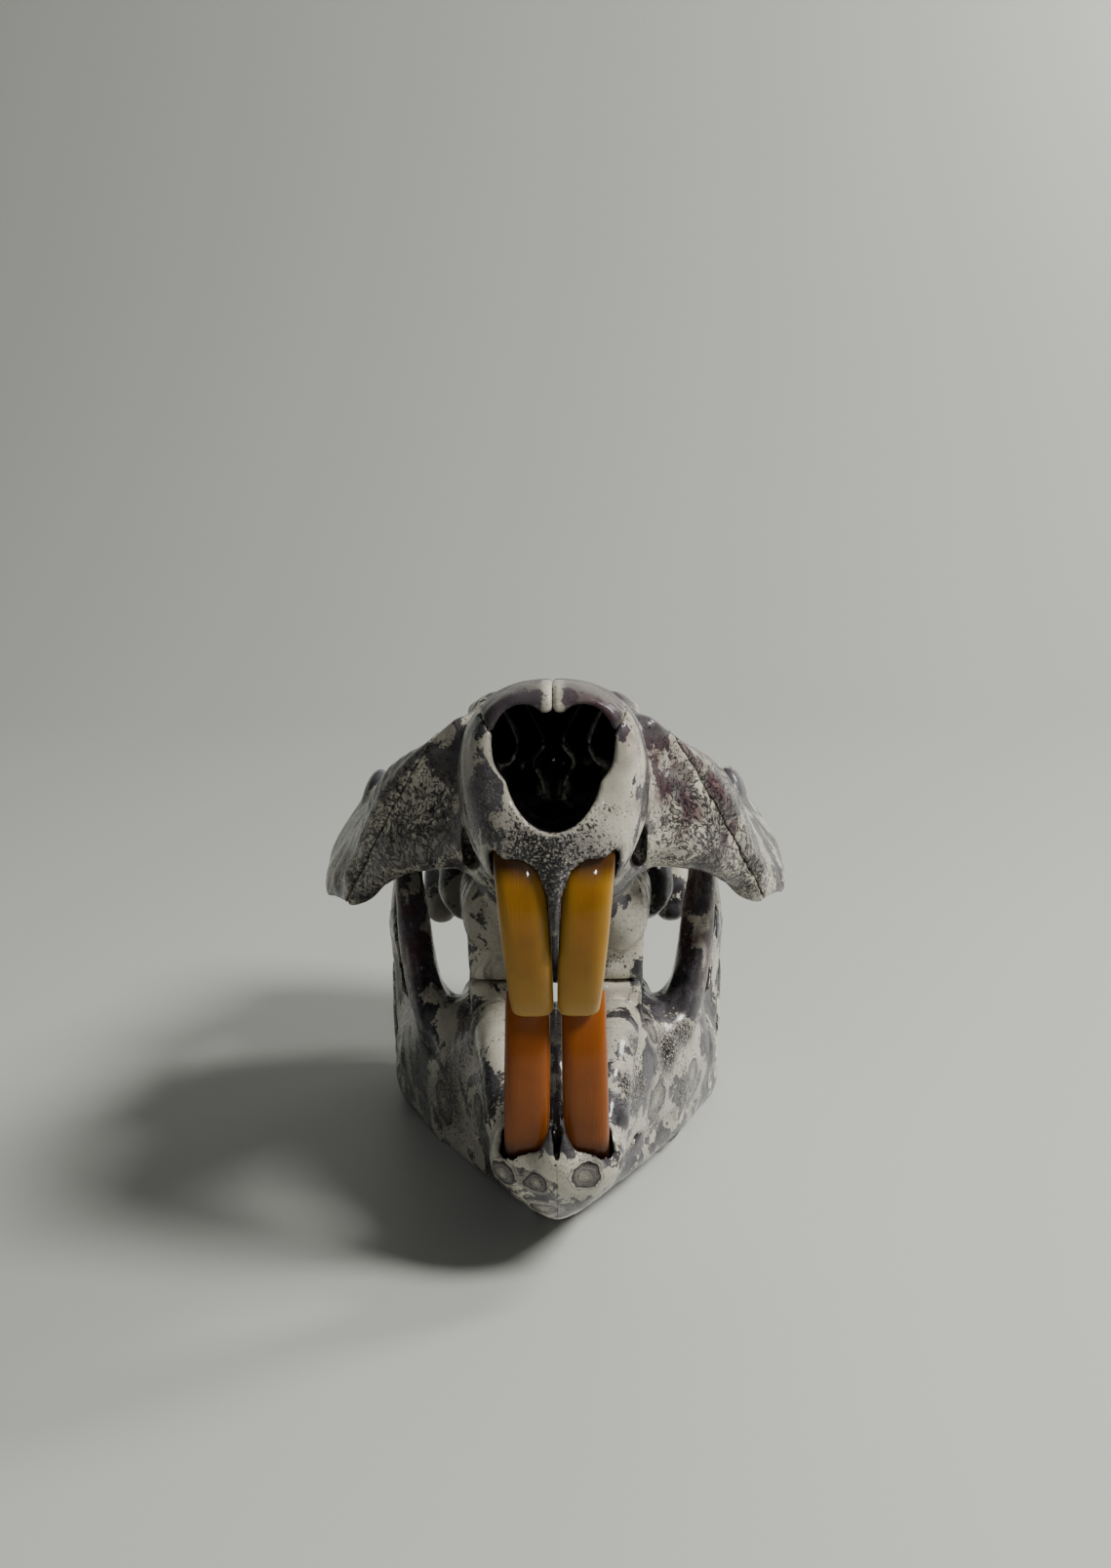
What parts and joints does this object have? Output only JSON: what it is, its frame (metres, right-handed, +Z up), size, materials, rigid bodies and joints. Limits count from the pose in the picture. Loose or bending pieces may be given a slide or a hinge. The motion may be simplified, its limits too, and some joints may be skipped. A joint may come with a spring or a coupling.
{
  "type": "beaver skull with lower jaw",
  "caption": "Life-size beaver skull with its lower jaw, long orange incisors, wide cheek arches and a heart-shaped nose opening, resting on chin and jaw angles.",
  "frame": {"origin": "centre of the bounding box at floor level, under the skull", "axes": "+Z up, -Y towards the nose and incisors, +X to the animal's left"},
  "size_m": [0.0964, 0.1435, 0.1053],
  "materials": {
    "skull_bone": "glossy sealed bone, cream with grey and purple-brown mottling",
    "jaw_bone": "glossy sealed bone, cream with grey spots and dark speckle",
    "upper_enamel": "glossy amber enamel, paler at the tip",
    "lower_enamel": "glossy orange-brown enamel, dark at the socket"
  },
  "bodies": {
    "root": {"cranium": "skull_bone", "nasal_left": "skull_bone", "nasal_right": "skull_bone", "cheekbone_left": "skull_bone", "cheekbone_right": "skull_bone", "dentary_left": "jaw_bone", "dentary_right": "jaw_bone", "upper_incisor_left": "upper_enamel", "upper_incisor_right": "upper_enamel", "lower_incisor_left": "lower_enamel", "lower_incisor_right": "lower_enamel"}
  },
  "joints": []
}
